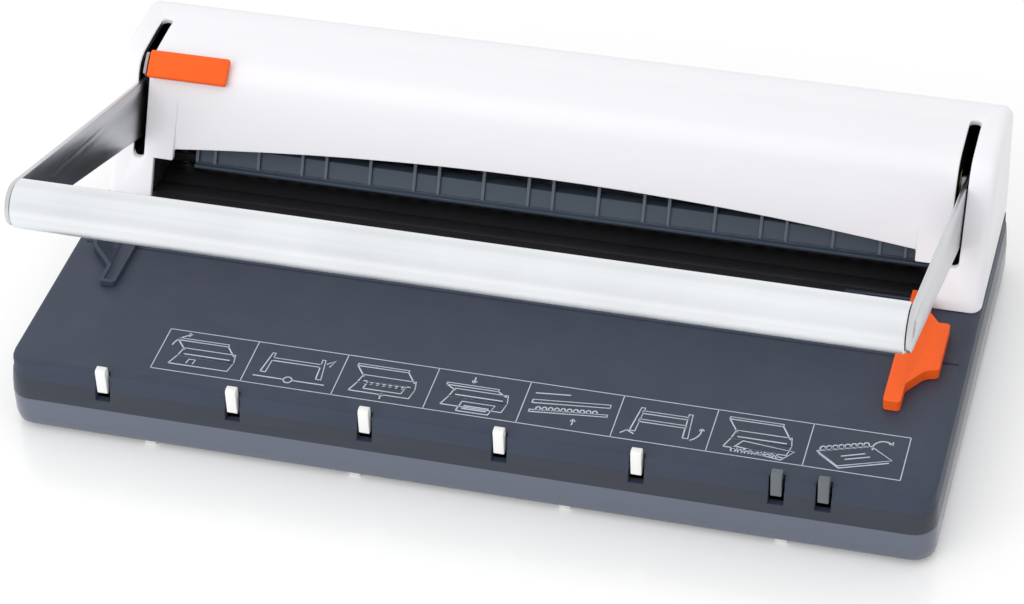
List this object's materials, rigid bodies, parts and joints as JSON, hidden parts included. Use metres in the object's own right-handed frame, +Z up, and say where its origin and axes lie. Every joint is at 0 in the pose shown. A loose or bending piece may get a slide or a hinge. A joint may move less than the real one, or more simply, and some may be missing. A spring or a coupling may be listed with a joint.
{
  "type": "wire binding machine",
  "caption": "Desk wire binding machine: a wide handle drives a row of square punches and a ribbed closing bar in one throat, with edge guides, wire pegs and a chip tray.",
  "frame": {"origin": "on the surface the feet stand on, under the middle of the bounding box", "axes": "+X to the machine's right as its user sees it, +Y towards its back, +Z up"},
  "size_m": [0.35, 0.1818, 0.1122],
  "materials": {
    "slate_plastic": "fine moulded texture, satin",
    "white_plastic": "smooth semi-gloss",
    "orange_plastic": "smooth satin",
    "white_peg": "smooth",
    "grey_peg": "smooth",
    "blue_grey_metal": "satin paint",
    "satin_aluminium": "satin, drawn lengthwise",
    "polished_steel": "polished",
    "plain_steel": "machined",
    "blackened_steel": "blackened, dull",
    "bush_bronze": "turned",
    "foot_rubber": "matt",
    "pale_rubber": "matt"
  },
  "bodies": {
    "root": {"base_shell": "slate_plastic", "bottom_plate": "slate_plastic", "bottom_screw_1": "plain_steel", "bottom_screw_2": "plain_steel", "bottom_screw_3": "plain_steel", "bottom_screw_4": "plain_steel", "frame_screw_1": "plain_steel", "frame_screw_2": "plain_steel", "frame_screw_3": "plain_steel", "frame_screw_4": "plain_steel", "rubber_foot_left": "foot_rubber", "rubber_foot_right": "foot_rubber", "front_pad_1": "pale_rubber", "front_pad_2": "pale_rubber", "front_pad_3": "pale_rubber", "front_pad_4": "pale_rubber", "wire_peg_1": "white_peg", "wire_peg_2": "white_peg", "wire_peg_3": "white_peg", "wire_peg_4": "white_peg", "wire_peg_5": "white_peg", "wire_peg_6": "grey_peg", "wire_peg_7": "grey_peg", "cover_shell": "white_plastic", "cover_screw_1": "plain_steel", "cover_screw_2": "plain_steel", "cover_screw_3": "plain_steel", "cover_screw_4": "plain_steel", "side_frame_left": "blackened_steel", "side_frame_right": "blackened_steel", "shaft_bush_left": "bush_bronze", "shaft_bush_right": "bush_bronze", "closing_anvil": "blackened_steel", "die_block": "blackened_steel", "punch_guide": "blackened_steel", "paper_stop": "blackened_steel", "guide_post_left": "plain_steel", "guide_post_right": "plain_steel", "ram_spring_left": "plain_steel", "ram_spring_right": "plain_steel", "edge_guide_left": "slate_plastic"},
    "handle": {"handle_bar": "satin_aluminium", "handle_arm_left": "polished_steel", "handle_arm_right": "polished_steel", "handle_screw_left": "plain_steel", "handle_screw_right": "plain_steel", "handle_shaft": "plain_steel", "shaft_nut_left": "plain_steel", "shaft_nut_right": "plain_steel", "eccentric_cam_left": "plain_steel", "eccentric_cam_right": "plain_steel"},
    "ram": {"ram_bar": "plain_steel", "punch_comb": "plain_steel", "press_bar": "blue_grey_metal"},
    "selector": {"selector_lever": "plain_steel", "selector_tab": "orange_plastic"},
    "right_guide": {"edge_guide_right": "orange_plastic"},
    "tray": {"chip_tray": "slate_plastic"}
  },
  "joints": [
    {"name": "handle_swing", "type": "hinge", "parent": "root", "child": "handle", "pos_m": [0, 0.0607, 0.058], "axis": [-1, 0, 0], "range_deg": [-12, 82]},
    {"name": "ram_slide", "type": "slide", "parent": "root", "child": "ram", "axis": [0, 0, 1], "range_m": [-0.001, 0.0065], "deforming": ["ram_spring_left", "ram_spring_right"]},
    {"name": "selector_swing", "type": "hinge", "parent": "root", "child": "selector", "pos_m": [0, 0.0607, 0.058], "axis": [-1, 0, 0], "range_deg": [0, 45]},
    {"name": "guide_slide", "type": "slide", "parent": "root", "child": "right_guide", "axis": [1, 0, 0], "range_m": [-0.018, 0.0024]},
    {"name": "tray_slide", "type": "slide", "parent": "root", "child": "tray", "axis": [0, 1, 0], "range_m": [0, 0.078]}
  ],
  "couplings": [
    {"joint": "ram_slide", "follows": "handle_swing", "m_per_rad": 0.0045}
  ]
}
